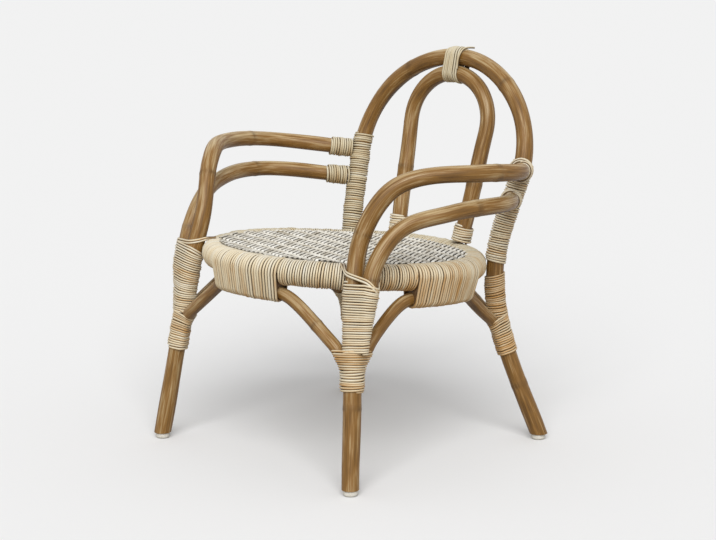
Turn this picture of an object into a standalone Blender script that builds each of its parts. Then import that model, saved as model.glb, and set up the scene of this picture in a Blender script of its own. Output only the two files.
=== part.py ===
# Child's rattan armchair: bent poles bound with cane round a woven seat.
# The chair faces -Y. Left and right are as seen from the front, so right is +X.
import math

import bmesh
import bpy
from mathutils import Matrix, Vector

# Seat, in metres
SEAT_HEIGHT = 0.2633  # middle of the seat ring above the floor
SEAT_SLOPE = 4.2  # degrees that the seat falls towards the back
RING_RADIUS = 0.179  # centre line of the seat ring
RING_POLE = 0.029  # diameter, as for all poles
PANEL_THICKNESS = 0.005
PANEL_LIFT = 0.010  # underside of the woven panel above the ring's centre
WALE_PITCH = 0.0106  # between the diagonal ribs of the twill
WALE_ANGLE = 75.0  # degrees round the seat from the chair's side to the way across the ribs
WALE_HEIGHT = 0.0016  # from trough to crest

# Cane
RIM_CANE = 0.0036  # wall of the wrapping on the seat ring, over the ends of the weave
BIND_CANE = 0.0014  # wall of the second wrapping, round the ring and a brace
STRAND = 0.0022  # thickness of a wound strand
STRAND_GAP = 0.0007  # between neighbouring turns
GAP = 0.0003  # between pieces that touch

# Front legs, which bend over into the upper arms
ARM_POLE = 0.024
ARM_TIP = 0.0215  # the same pole at its thin upper end
FRONT_ANGLE = 41.0  # degrees round the seat from the chair's side to a front leg
FRONT_FOOT_X = 0.192
FRONT_FOOT_Y = 0.178
LEG_STRAIGHT = 0.7  # share of the leg's height that is surely straight

# Route of an upper arm: outwards, backwards and upwards from where its pole meets the ring
ARM_BEND = (-0.004, 0.014, 0.048)
ARM_ELBOW = (0.019, 0.046, 0.116)
ARM_SWEEP = (0.0865, 0.152, 0.1345)
ARM_BOW = (0.090, 0.199, 0.1315)
ARM_END_HEIGHT = 0.386  # above the floor, at the upright

# Lower arms
LOWER_POLE = 0.022
LOWER_TIP = 0.011  # shaved end beside the leg
LOWER_ANGLE = 8.0  # degrees from the chair's side, from the leg to the lower arm
LOWER_BEND = (0.025, 0.008, 0.013)  # from the same place as the upper arm's route
LOWER_ELBOW = (0.035, 0.0465, 0.066)
LOWER_SWEEP = (0.066, 0.110, 0.084)
LOWER_BOW = (0.080, 0.192, 0.088)
LOWER_END_DROP = 0.040  # below the upper arm's end

# Back hoop, which is also the back legs
HOOP_POLE = 0.024
BACK_ANGLE = 47.4
BACK_FOOT_X = 0.195
BACK_FOOT_Y = 0.201
KNEE_DROP = 0.027  # the bend in the pole, below the seat ring
KNEE_TUCK = 0.0005
HOOP_HALF_WIDTH = 0.1595
HOOP_SPRING = 0.1335  # start of the arch above the seat ring
HOOP_ARCH = 0.143
HOOP_LEAN_ANGLE = 15.4  # degrees that the back leans

# Inner hoop
INNER_POLE = 0.0226
INNER_FOOT_HALF = 0.061
INNER_HALF_WIDTH = 0.0748
INNER_SPRING = 0.184
INNER_BULGE = 0.004  # how far the hoop's sides bow back at the start of its arch
INNER_COLLAR = 0.020  # length of the wrapping at each end
COLLAR_WALL = 0.0018

# Braces
BRACE_POLE = 0.017
BRACE_TIP = 0.012
BIND_ANGLE = 19.0  # degrees to each side of the middle that are bound to the ring
FRONT_LAND = 0.079  # where a brace lands on a front leg, below the ring's centre
BACK_LAND = 0.0853
BRACE_TAIL = 0.026  # end that lies along the leg, below that
BRACE_TUCK = 28.0  # degrees that this end sits round the leg, towards the seat
BRACE_CURVE = 1.35

# Windings
LEG_WIND_TOP = 0.021  # below the ring's centre
LEG_WIND_BOTTOM = 0.018  # above where the braces land
LEG_WIND_LOOPS = 9
JOINT_WIND_TOP = 0.006  # below where the braces land
JOINT_WIND_BOTTOM = 0.051
JOINT_WIND_LOOPS = 7
JOINT_TAPER = 0.3  # share of the brace ends' width left at the bottom turn
UPRIGHT_WIND_BOTTOM = 0.020  # above the ring's centre
UPRIGHT_WIND_TOP = 0.1525
UPRIGHT_WIND_LOOPS = 12
ARM_WIND_LENGTH = 0.030
ARM_WIND_LOOPS = 5
TOP_WIND_WIDTH = 0.028
TOP_WIND_LOOPS = 5
PAIR_POINTS = 8  # points in a turn round more than one pole
SINGLE_POINTS = 8  # points in a turn round one pole

# Glides
GLIDE_DIAMETER = 0.020
GLIDE_HEIGHT = 0.008
GLIDE_EDGE = 0.0012

# Fineness of the curves
RING_STEPS = 40
POLE_SIDES = 10
BIND_SIDES = 12
LEG_STEPS = 5
ARCH_STEPS = 8
ARM_STEPS = 4
BRACE_STEPS = 5
GLIDE_SIDES = 20
END_STEP = 0.5  # degrees
SHARP_EDGE = 40.0  # degrees
WELD = 0.00001

SIDES = {"right": 1, "left": -1}
UP = Vector((0, 0, 1))

for old in list(bpy.data.objects):
    bpy.data.objects.remove(old)

chair = bpy.data.collections.new("child_rattan_chair")
guides = bpy.data.collections.new("strand_profiles")
bpy.context.scene.collection.children.link(chair)
bpy.context.scene.collection.children.link(guides)
root = bpy.data.objects.new("chair_frame", None)
chair.objects.link(root)


def material(name, colour, roughness):
    made = bpy.data.materials.new(name)
    made.use_nodes = True
    shader = made.node_tree.nodes["Principled BSDF"]
    shader.inputs["Base Color"].default_value = (*colour, 1)
    shader.inputs["Roughness"].default_value = roughness
    shader.inputs["Metallic"].default_value = 0
    made.diffuse_color = (*colour, 1)
    return made


POLE_FINISH = material("pole_rattan", (0.30, 0.19, 0.09), 0.45)
CANE_FINISH = material("binding_cane", (0.62, 0.49, 0.32), 0.6)
WEAVE_FINISH = material("woven_cane", (0.60, 0.52, 0.40), 0.65)
GLIDE_FINISH = material("glide_plastic", (0.82, 0.81, 0.78), 0.4)


def add(name, data, finish):
    piece = bpy.data.objects.new(name, data)
    chair.objects.link(piece)
    piece.parent = root
    piece.data.materials.clear()
    piece.data.materials.append(finish)
    return piece


def polar(radius, degrees, height):
    angle = math.radians(degrees)
    return Vector((radius * math.cos(angle), radius * math.sin(angle), height))


def mirrored(path, sign):
    return [Vector((sign * p.x, p.y, p.z)) for p in path]


def smooth(points, steps):
    # Curve through every point, with slopes weighted by the lengths of the stretches beside it
    ends = [points[0] * 2 - points[1], *points, points[-1] * 2 - points[-2]]
    path = []
    for a, b, c, d in zip(ends, ends[1:], ends[2:], ends[3:]):
        before, span, after = (b - a).length, (c - b).length, (d - c).length
        leave = ((b - a) * (span / before) + (c - b) * (before / span)) / (before + span)
        arrive = ((c - b) * (after / span) + (d - c) * (span / after)) / (span + after)
        for i in range(steps):
            t = i / steps
            ease = t * t * (3 - 2 * t)
            bend = leave * (t * (1 - t) ** 2) - arrive * (t * t * (1 - t))
            path.append(b.lerp(c, ease) + bend * span)
    return path + [points[-1]]


def crossing(path, sizes, axis, level):
    # Where a pole meets the plane at a level along an axis, its direction and its diameter there
    for a, b, size, next_size in zip(path, path[1:], sizes, sizes[1:]):
        low = a.dot(axis) - level
        high = b.dot(axis) - level
        if low * high <= 0 and low != high:
            share = low / (low - high)
            return a.lerp(b, share), (b - a).normalized(), size + (next_size - size) * share
    raise ValueError(f"no crossing at {level:.4f} m")


def at_height(path, height):
    return crossing(path, [0] * len(path), UP, height)[0]


def curve_data(name, points, cyclic=False):
    data = bpy.data.curves.new(name, "CURVE")
    data.dimensions = "3D"
    data.twist_mode = "Z_UP"
    spline = data.splines.new("POLY")
    spline.points.add(len(points) - 1)
    for slot, point in zip(spline.points, points):
        slot.co = (*point, 1)
    spline.use_cyclic_u = cyclic
    spline.use_smooth = True
    return data


def pole(name, path, sizes):
    # sizes gives the diameter at each point of the path
    data = curve_data(name, path)
    data.twist_mode = "MINIMUM"
    data.bevel_depth = max(sizes) / 2
    data.bevel_resolution = POLE_SIDES // 2 - 2
    data.use_fill_caps = True
    for slot, size in zip(data.splines[0].points, sizes):
        slot.radius = size / max(sizes)
    return add(name, data, POLE_FINISH)


def cut_level(piece, height):
    # Saw the feet of a pole off level with the floor
    graph = bpy.context.evaluated_depsgraph_get()
    mesh = bpy.data.meshes.new_from_object(piece.evaluated_get(graph))
    name = piece.name
    old = piece.data
    bpy.data.objects.remove(piece)
    bpy.data.curves.remove(old)
    work = bmesh.new()
    work.from_mesh(mesh)
    bmesh.ops.remove_doubles(work, verts=work.verts, dist=WELD)
    parts = work.verts[:] + work.edges[:] + work.faces[:]
    cut = bmesh.ops.bisect_plane(
        work, geom=parts, plane_co=(0, 0, height), plane_no=(0, 0, -1), clear_outer=True
    )
    rim = [e for e in cut["geom_cut"] if isinstance(e, bmesh.types.BMEdge)]
    bmesh.ops.edgeloop_fill(work, edges=rim)
    bmesh.ops.recalc_face_normals(work, faces=work.faces)
    work.to_mesh(mesh)
    work.free()
    mesh.shade_smooth()
    mesh.set_sharp_from_angle(angle=math.radians(SHARP_EDGE))
    return add(name, mesh, POLE_FINISH)


def sleeve(name, path, outer, wall):
    # Wrapping round one pole as a plain open-ended sleeve
    data = curve_data(name, path)
    data.bevel_depth = outer
    data.bevel_resolution = POLE_SIDES // 2 - 2
    piece = add(name, data, CANE_FINISH)
    shell = piece.modifiers.new("wall", "SOLIDIFY")
    shell.thickness = wall
    shell.offset = -1
    return piece


def outline(name, points):
    # Closed flat outline that another curve sweeps along its path, turned to face outwards
    data = curve_data(name, [(*p, 0) for p in reversed(points)], cyclic=True)
    data.dimensions = "2D"
    data.fill_mode = "NONE"
    profile = bpy.data.objects.new(name, data)
    guides.objects.link(profile)
    profile.hide_render = True
    profile.display_type = "WIRE"
    return profile


def around(circles, i, count):
    # Corner i of the loop of straight stretches that lies tight round circles (x, y, radius)
    step = math.tau / count
    ways = [(math.cos(step * (i + half)), math.sin(step * (i + half))) for half in (-0.5, 0.5)]
    (ax, ay), (bx, by) = ways
    a, b = (max(x * wx + y * wy + radius for x, y, radius in circles) for wx, wy in ways)
    return (a * by - b * ay) / math.sin(step), (b * ax - a * bx) / math.sin(step)


def winding(name, poles, start, finish, loops, per_loop):
    # One strand wound round poles, each a path and its diameters, between two points of the first
    axis = (finish - start).normalized()
    side = axis.orthogonal().normalized()
    other = axis.cross(side)
    low = start.dot(axis)
    length = (finish - start).length
    width = length / loops - STRAND_GAP
    lift = GAP + STRAND / 2
    points = []
    for i in range(loops * per_loop + 1):
        level = low + length * i / (loops * per_loop)
        circles = []
        for path, sizes in poles:
            centre, way, diameter = crossing(path, sizes, axis, level)
            reach = diameter / 2 / abs(way.dot(axis)) + lift
            circles.append((centre.dot(side), centre.dot(other), reach))
        points.append(Vector((*around(circles, i, per_loop), level)))
    least = min((a - b).length for a, b in zip(points, points[per_loop:])) - width
    print(f"{name}: {loops} turns, least gap to itself {least * 1000:.2f} mm")
    section = [(STRAND / 2, 0), (0, width / 2), (-STRAND / 2, 0), (0, -width / 2)]
    data = curve_data(name, points)
    data.bevel_mode = "OBJECT"
    data.bevel_object = outline(name + "_strand", section)
    data.use_fill_caps = True
    piece = add(name, data, CANE_FINISH)
    piece.matrix_local = Matrix((side, other, axis)).transposed().to_4x4()
    return piece


def wound_reach(diameter, per_loop):
    # Outer radius of a winding round one pole
    return (diameter / 2 + GAP + STRAND / 2) / math.cos(math.pi / per_loop) + STRAND / 2


# Seat ring and its wrapping, in a plane that falls towards the back
seat_frame = Matrix.Translation((0, 0, SEAT_HEIGHT)) @ Matrix.Rotation(math.radians(-SEAT_SLOPE), 4, "X")
chord_sag = RING_RADIUS * (1 - math.cos(math.pi / RING_STEPS))
rim_inner = (RING_POLE / 2 + GAP + chord_sag) / math.cos(math.pi / POLE_SIDES)
rim_outer = rim_inner + RIM_CANE

bpy.ops.mesh.primitive_torus_add(
    major_radius=RING_RADIUS,
    minor_radius=RING_POLE / 2,
    major_segments=RING_STEPS,
    minor_segments=POLE_SIDES,
)
ring_mesh = bpy.context.object.data
bpy.data.objects.remove(bpy.context.object)
ring_mesh.shade_smooth()
add("seat_ring_pole", ring_mesh, POLE_FINISH).matrix_local = seat_frame

leg_angles = {
    "front_right": -FRONT_ANGLE,
    "back_right": BACK_ANGLE,
    "back_left": 180 - BACK_ANGLE,
    "front_left": 180 + FRONT_ANGLE,
}
side_spans = {
    "right": ("front_right", "back_right"),
    "back": ("back_right", "back_left"),
    "left": ("back_left", "front_left"),
    "front": ("front_left", "front_right"),
}


def span_angles(side):
    # Angles of the two legs that a side runs between
    first, last = (leg_angles[leg] for leg in side_spans[side])
    return first, last if last > first else last + 360


def on_seat(radius, degrees, lift):
    return seat_frame @ polar(radius, degrees, lift)


def arc(start, finish):
    # Stretch of the ring's centre line, with short end steps so that its ends lie square to it
    steps = max(2, round((finish - start) * RING_STEPS / 360))
    turns = [start + (finish - start) * i / steps for i in range(steps + 1)]
    turns.insert(1, start + END_STEP)
    turns.insert(-1, finish - END_STEP)
    return [polar(RING_RADIUS, turn, 0) for turn in turns]


end_turn = math.degrees(GAP / RING_RADIUS)
for side in side_spans:
    first, last = span_angles(side)
    wrap = sleeve(f"{side}_rim_wrap", arc(first + end_turn, last - end_turn), rim_outer, RIM_CANE)
    wrap.matrix_local = seat_frame

bind_inner = rim_outer + GAP + chord_sag
bind_outer = (bind_inner + BIND_CANE) / math.cos(math.pi / BIND_SIDES)


def woven_panel(radius):
    # Disc that is folded into the diagonal ribs of a twill weave
    bpy.ops.mesh.primitive_cylinder_add(vertices=RING_STEPS, radius=radius, depth=PANEL_THICKNESS)
    mesh = bpy.context.object.data
    bpy.data.objects.remove(bpy.context.object)
    work = bmesh.new()
    work.from_mesh(mesh)
    across = polar(1, WALE_ANGLE, 0)
    folds = math.floor(2 * radius / WALE_PITCH)
    for i in range(-folds, folds + 1):
        parts = work.verts[:] + work.edges[:] + work.faces[:]
        line = across * (i * WALE_PITCH / 2)
        bmesh.ops.bisect_plane(work, geom=parts, plane_co=line, plane_no=across)
    for vertex in work.verts:
        turn = vertex.co.dot(across) / WALE_PITCH
        vertex.co.z += WALE_HEIGHT * (2 * abs(turn - round(turn)) - 0.5)
    work.to_mesh(mesh)
    work.free()
    return add("seat_panel", mesh, WEAVE_FINISH)


panel_radius = RING_RADIUS - math.sqrt(bind_outer ** 2 - (PANEL_LIFT - WALE_HEIGHT) ** 2) - GAP
panel_middle = Matrix.Translation((0, 0, PANEL_LIFT + PANEL_THICKNESS / 2))
woven_panel(panel_radius).matrix_local = seat_frame @ panel_middle


def leg_spot(diameter, angle, slope):
    # Where a leg that leans out by a slope touches the wrapped ring
    tangent = seat_frame.to_3x3() @ polar(1, angle + 90, 0)
    across = polar(slope, angle, 1).cross(tangent).normalized()
    reach = (rim_outer + GAP + diameter / 2) / abs(across.dot(polar(1, angle, 0)))
    return on_seat(RING_RADIUS, angle, 0) + polar(reach, angle, 0)


# Back hoop: foot, knee, seat and half of the arch, then its mirror image
hoop_rake = math.tan(math.radians(HOOP_LEAN_ANGLE))
back_foot = Vector((BACK_FOOT_X, BACK_FOOT_Y, 0))
back_seat = leg_spot(HOOP_POLE, BACK_ANGLE, hoop_rake)
knee_reach = back_seat.xy.length - KNEE_TUCK
knee = polar(knee_reach, BACK_ANGLE, back_seat.z - KNEE_DROP)
below = back_foot + (back_foot - knee).normalized() * HOOP_POLE


def arch(half_width, base, rise, rake):
    # Quarter of an ellipse that leans back, from its spring to its top
    quarter = [math.pi / 2 * i / ARCH_STEPS for i in range(ARCH_STEPS + 1)]
    return [
        Vector((half_width * math.cos(a), base.y + rake * rise * math.sin(a), base.z + rise * math.sin(a)))
        for a in quarter
    ]


spring = Vector((HOOP_HALF_WIDTH, back_seat.y + hoop_rake * HOOP_SPRING, back_seat.z + HOOP_SPRING))
hoop_arch = arch(HOOP_HALF_WIDTH, spring, HOOP_ARCH, hoop_rake)
hoop_half = smooth([below, knee, back_seat, hoop_arch[0]], LEG_STEPS)[:-1] + hoop_arch
hoop_path = hoop_half + mirrored(hoop_half, -1)[-2::-1]
hoop_sizes = [HOOP_POLE] * len(hoop_path)
cut_level(pole("back_hoop_pole", hoop_path, hoop_sizes), GLIDE_HEIGHT + GAP)

# Inner hoop, standing on the ring and tied under the top of the back hoop
hoop_slope = Vector((0, hoop_rake, 1)).normalized()
inner_top = hoop_arch[-1] - hoop_slope * (HOOP_POLE / 2 + INNER_POLE / 2 + GAP)
inner_foot = on_seat(RING_RADIUS, math.degrees(math.acos(INNER_FOOT_HALF / RING_RADIUS)), 0)
inner_rake = (inner_top.y - inner_foot.y) / (inner_top.z - inner_foot.z)
inner_base_z = inner_foot.z + INNER_SPRING
inner_base = Vector((0, inner_foot.y + inner_rake * INNER_SPRING + INNER_BULGE, inner_base_z))
inner_rise = inner_top.z - inner_base_z
inner_arch = arch(INNER_HALF_WIDTH, inner_base, inner_rise, (inner_top.y - inner_base.y) / inner_rise)
inner_start = inner_foot + (inner_arch[0] - inner_foot).normalized() * (bind_outer + GAP)
inner_half = [inner_start, *inner_arch]
inner_path = inner_half + mirrored(inner_half, -1)[-2::-1]
inner_sizes = [INNER_POLE] * len(inner_path)
pole("inner_hoop_pole", inner_path, inner_sizes)
collar_inner = (INNER_POLE / 2 + GAP) / math.cos(math.pi / POLE_SIDES)
for side, sign in SIDES.items():
    rise = [inner_start.z + 3 * GAP + INNER_COLLAR * i for i in range(2)]
    path = mirrored([at_height(inner_half, z) for z in rise], sign)
    sleeve(f"{side}_inner_hoop_wrap", path, collar_inner + COLLAR_WALL, COLLAR_WALL)


# Arms: each is a leg that bends over, bows outwards and comes back in to the upright
upright_lean = (spring - back_seat).normalized().z
upright_reach = wound_reach(HOOP_POLE, SINGLE_POINTS) / upright_lean


def arm_end(widest, height):
    # End of an arm, just clear of the winding on the upright it is nailed to
    upright = at_height(hoop_half, height)
    approach = Vector((upright.x - widest.x, upright.y - widest.y, 0)).normalized()
    return upright - approach * (upright_reach + 3 * GAP)


def route(start, offsets, height):
    points = [start + Vector(offset) for offset in offsets]
    return points + [arm_end(points[-1], height)]


front_foot = Vector((FRONT_FOOT_X, -FRONT_FOOT_Y, 0))
front_slope = (RING_RADIUS + rim_outer - front_foot.length) / SEAT_HEIGHT
front_seat = leg_spot(ARM_POLE, -FRONT_ANGLE, front_slope)
leg_way = (front_seat - front_foot) / front_seat.z
leg_points = [front_foot - leg_way * ARM_POLE, front_foot.lerp(front_seat, LEG_STRAIGHT), front_seat]
arm_points = route(front_seat, (ARM_BEND, ARM_ELBOW, ARM_SWEEP, ARM_BOW), ARM_END_HEIGHT)
arm_path = smooth(leg_points + arm_points, ARM_STEPS)
leg_count = (len(leg_points) - 1) * ARM_STEPS
taper = (ARM_TIP - ARM_POLE) / (len(arm_path) - 1 - leg_count)
arm_sizes = [ARM_POLE + taper * max(0, i - leg_count) for i in range(len(arm_path))]

# Heights at which the braces reach the legs
land_levels = {
    leg: SEAT_HEIGHT - (FRONT_LAND if leg.startswith("front") else BACK_LAND) for leg in leg_angles
}

# Lower arms, which start beside the front legs inside the bindings
beside = polar(1, LOWER_ANGLE, 0)
leg_lean = leg_way.normalized().z
low_tip_z = land_levels["front_right"] + LEG_WIND_BOTTOM - GAP
low_tip = at_height(arm_path, low_tip_z) + beside * (ARM_POLE / 2 / leg_lean + LOWER_TIP / 2 + GAP)
low_bind_z = front_seat.z - LEG_WIND_TOP
low_bind = at_height(arm_path, low_bind_z) + beside * (ARM_POLE / 2 / leg_lean + LOWER_POLE / 2 + GAP)
low_end_z = ARM_END_HEIGHT - LOWER_END_DROP
low_points = route(front_seat, (LOWER_BEND, LOWER_ELBOW, LOWER_SWEEP, LOWER_BOW), low_end_z)
low_path = smooth([low_tip, low_bind, *low_points], ARM_STEPS)
low_taper = (LOWER_POLE - LOWER_TIP) / ARM_STEPS
low_sizes = [min(LOWER_POLE, LOWER_TIP + low_taper * i) for i in range(len(low_path))]

for side, sign in SIDES.items():
    cut_level(pole(f"{side}_arm_pole", mirrored(arm_path, sign), arm_sizes), GLIDE_HEIGHT + GAP)
    pole(f"{side}_lower_arm_pole", mirrored(low_path, sign), low_sizes)

# Braces: bound under the ring in the middle, with ends that come down to the legs
leg_paths = {
    "front_right": (arm_path, arm_sizes, 1),
    "front_left": (arm_path, arm_sizes, -1),
    "back_right": (hoop_half, hoop_sizes, 1),
    "back_left": (hoop_half, hoop_sizes, -1),
}
brace_drop = rim_outer + BRACE_POLE / 2 + 2 * GAP
brace_ends = {leg: [] for leg in leg_paths}


def beside_leg(leg, height, toward, diameter):
    # Centre of a brace of a diameter where it lies against a leg
    path, sizes, sign = leg_paths[leg]
    centre, way, leg_pole = crossing(mirrored(path, sign), sizes, UP, height)
    inward = Vector((-centre.x, -centre.y, 0)).normalized()
    along = Vector((inward.y, -inward.x, 0)) * toward
    tuck = math.radians(BRACE_TUCK)
    way_off = along * math.cos(tuck) + inward * math.sin(tuck)
    return centre + way_off * (leg_pole / 2 / abs(way.z) + diameter / 2 + 2 * GAP)


def brace_half(leg, middle, toward):
    # From the bound part out to the leg, then down along it
    edge = middle + toward * BIND_ANGLE
    land = beside_leg(leg, land_levels[leg], -toward, BRACE_POLE)
    tail = beside_leg(leg, land_levels[leg] - BRACE_TAIL, -toward, BRACE_TIP)
    turn = (math.degrees(math.atan2(land.y, land.x)) - edge + 180) % 360 - 180
    path = []
    for i in range(1, BRACE_STEPS + 1):
        t = i / BRACE_STEPS
        radius = RING_RADIUS + (land.xy.length - RING_RADIUS) * t * t
        point = on_seat(radius, edge + turn * t, -brace_drop)
        point.z += (land.z - point.z) * t ** BRACE_CURVE
        path.append(point)
    path[-1] = land
    brace_ends[leg].append([land, tail])
    return path + [tail]


for side, (first, last) in side_spans.items():
    middle = sum(span_angles(side)) / 2
    before = brace_half(first, middle, -1)
    after = brace_half(last, middle, 1)
    steps = round(2 * BIND_ANGLE * RING_STEPS / 360)
    bound = [
        on_seat(RING_RADIUS, middle - BIND_ANGLE + 2 * BIND_ANGLE * i / steps, -brace_drop)
        for i in range(steps + 1)
    ]
    path = before[::-1] + bound + after
    sizes = [BRACE_TIP] + [BRACE_POLE] * (len(path) - 2) + [BRACE_TIP]
    pole(f"{side}_brace_pole", path, sizes)
    # The second wrapping, round the wrapped ring and the brace together
    circles = [
        (0, 0, bind_inner + BIND_CANE),
        (0, -brace_drop, BRACE_POLE / 2 + GAP + chord_sag + BIND_CANE),
    ]
    section = [around(circles, i, BIND_SIDES) for i in range(BIND_SIDES)]
    data = curve_data(f"{side}_brace_wrap", arc(middle - BIND_ANGLE, middle + BIND_ANGLE))
    data.bevel_mode = "OBJECT"
    data.bevel_object = outline(f"{side}_brace_wrap_outline", section)
    wrap = add(f"{side}_brace_wrap", data, CANE_FINISH)
    wrap.matrix_local = seat_frame
    shell = wrap.modifiers.new("wall", "SOLIDIFY")
    shell.thickness = BIND_CANE
    shell.offset = -1

# Windings on the legs, uprights, arm ends and the top of the back
for leg, (path, sizes, sign) in leg_paths.items():
    own = mirrored(path, sign)
    poles = [(own, sizes)]
    bind_top = back_seat.z - LEG_WIND_TOP
    if leg.startswith("front"):
        poles.append((mirrored(low_path, sign), low_sizes))
        bind_top = low_bind_z
    ends = [at_height(own, land_levels[leg] + LEG_WIND_BOTTOM), at_height(own, bind_top)]
    winding(f"{leg}_leg_wrap", poles, *ends, LEG_WIND_LOOPS, PAIR_POINTS)
    joint_top = land_levels[leg] - JOINT_WIND_TOP
    joint_bottom = land_levels[leg] - JOINT_WIND_BOTTOM
    lowest = joint_bottom - BRACE_TIP / 2
    tails = []
    for land, tail in brace_ends[leg]:
        offset = tail - at_height(own, tail.z)
        under = at_height(own, lowest) + offset * JOINT_TAPER
        tails.append(([land, tail, under], [BRACE_POLE, BRACE_TIP, BRACE_TIP]))
    ends = [at_height(own, joint_bottom), at_height(own, joint_top)]
    winding(f"{leg}_joint_wrap", [(own, sizes), *tails], *ends, JOINT_WIND_LOOPS, PAIR_POINTS)

for side, sign in SIDES.items():
    own = mirrored(hoop_half, sign)
    rises = (UPRIGHT_WIND_BOTTOM, UPRIGHT_WIND_TOP)
    ends = [at_height(own, back_seat.z + rise) for rise in rises]
    winding(f"{side}_upright_wrap", [(own, hoop_sizes)], *ends, UPRIGHT_WIND_LOOPS, SINGLE_POINTS)
    for arm, path, sizes in (("arm", arm_path, arm_sizes), ("lower_arm", low_path, low_sizes)):
        own = mirrored(path, sign)
        way = (own[-1] - own[-2]).normalized()
        tip = own[-1] - way * STRAND
        ends = [tip - way * ARM_WIND_LENGTH, tip]
        winding(f"{side}_{arm}_end_wrap", [(own, sizes)], *ends, ARM_WIND_LOOPS, SINGLE_POINTS)

half_top = Vector((TOP_WIND_WIDTH / 2, 0, 0))
top_poles = [(hoop_path, hoop_sizes), (inner_path, inner_sizes)]
winding("top_binding", top_poles, half_top, -half_top, TOP_WIND_LOOPS, PAIR_POINTS)

# Glides under the sawn feet
for leg, (path, sizes, sign) in leg_paths.items():
    foot = at_height(mirrored(path, sign), GLIDE_HEIGHT)
    bpy.ops.mesh.primitive_cylinder_add(
        vertices=GLIDE_SIDES,
        radius=GLIDE_DIAMETER / 2,
        depth=GLIDE_HEIGHT,
        location=(foot.x, foot.y, GLIDE_HEIGHT / 2),
    )
    disc = bpy.context.object.data
    spot = bpy.context.object.location.copy()
    bpy.data.objects.remove(bpy.context.object)
    glide = add(f"{leg}_glide", disc, GLIDE_FINISH)
    glide.location = spot
    edge = glide.modifiers.new("edge", "BEVEL")
    edge.width = GLIDE_EDGE
    edge.segments = 1
    edge.limit_method = "ANGLE"

# The frame's origin is on the floor, under the middle of the chair
bpy.context.view_layer.update()
graph = bpy.context.evaluated_depsgraph_get()
depths = [
    (piece.matrix_world @ vertex.co).y
    for piece in chair.objects
    if piece.type != "EMPTY"
    for vertex in piece.evaluated_get(graph).to_mesh().vertices
]
root.location.y = -(min(depths) + max(depths)) / 2
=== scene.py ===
import math

import bpy
import numpy as np
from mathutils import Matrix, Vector


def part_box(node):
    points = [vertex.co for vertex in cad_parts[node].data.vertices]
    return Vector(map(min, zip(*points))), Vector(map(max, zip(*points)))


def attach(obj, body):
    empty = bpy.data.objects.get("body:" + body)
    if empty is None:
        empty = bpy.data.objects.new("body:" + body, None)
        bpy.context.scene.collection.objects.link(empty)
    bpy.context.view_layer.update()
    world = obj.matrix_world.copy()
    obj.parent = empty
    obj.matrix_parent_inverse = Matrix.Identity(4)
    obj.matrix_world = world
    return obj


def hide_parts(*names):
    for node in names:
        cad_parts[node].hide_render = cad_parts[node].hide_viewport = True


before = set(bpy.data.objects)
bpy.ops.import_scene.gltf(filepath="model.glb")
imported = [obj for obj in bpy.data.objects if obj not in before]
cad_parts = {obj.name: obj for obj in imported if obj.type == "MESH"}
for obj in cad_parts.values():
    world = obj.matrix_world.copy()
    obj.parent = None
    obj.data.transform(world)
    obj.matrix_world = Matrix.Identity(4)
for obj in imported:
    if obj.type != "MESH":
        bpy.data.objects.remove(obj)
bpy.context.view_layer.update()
ringLow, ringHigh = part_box("seat_ring_pole")
ringMiddle = (ringLow + ringHigh) / 2
chairOffset = np.array((ringMiddle.x, ringMiddle.y, 0.0))  # routes are measured from under the seat's middle
up = np.array((0.0, 0.0, 1.0))
sideSigns = {"right": 1, "left": -1}
# where each kind of piece starts its random draws; its side or place is added
seeds = dict(hoop=1, innerHoop=2, arm=3, lowArm=5, brace=7, rimFirst=20, rimSecond=30, braceWrap=40,
             legWrap=50, jointWrap=60, upright=70, armEnd=80, endPacking=88, innerBase=90, topBind=95,
             weaveAcross=101, weaveDeep=102, lash=110, topTail=120)
print("frame loaded, seat ring at", [round(c, 4) for c in ringMiddle])


def linear(r, g, b):  # screen colour to light
    parts = [c / 255 for c in (r, g, b)]
    return [c / 12.92 if c < 0.04045 else ((c + 0.055) / 1.055) ** 2.4 for c in parts] + [1.0]


# node groups that several finishes share
def newGroup(name, inputs, outputs):
    tree = bpy.data.node_groups.new(name, "ShaderNodeTree")
    for label, kind, value in inputs:
        socket = tree.interface.new_socket(name=label, in_out="INPUT", socket_type=kind)
        if value is not None:
            socket.default_value = value
    for label, kind in outputs:
        tree.interface.new_socket(name=label, in_out="OUTPUT", socket_type=kind)
    return tree, tree.nodes.new("NodeGroupInput"), tree.nodes.new("NodeGroupOutput")


def addNode(tree, kind, links=(), values=None, **settings):
    node = tree.nodes.new(kind)
    for key, value in settings.items():
        setattr(node, key, value)
    for socket, value in (values or {}).items():
        node.inputs[socket].default_value = value
    for socket, source in links:
        tree.links.new(source, node.inputs[socket])
    return node


grainLook = dict(broad=(0.3, 0.3, 0.9), spread={"From Min": 0.30, "From Max": 0.70},
                 streaks={"Scale": 1.0, "Detail": 5.0, "Roughness": 0.62, "Distortion": 0.3},
                 patches={"Scale": 1.0, "Detail": 3.0, "Roughness": 0.5},
                 height={"Scale": 2.3, "Detail": 4.0, "Roughness": 0.7})


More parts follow.
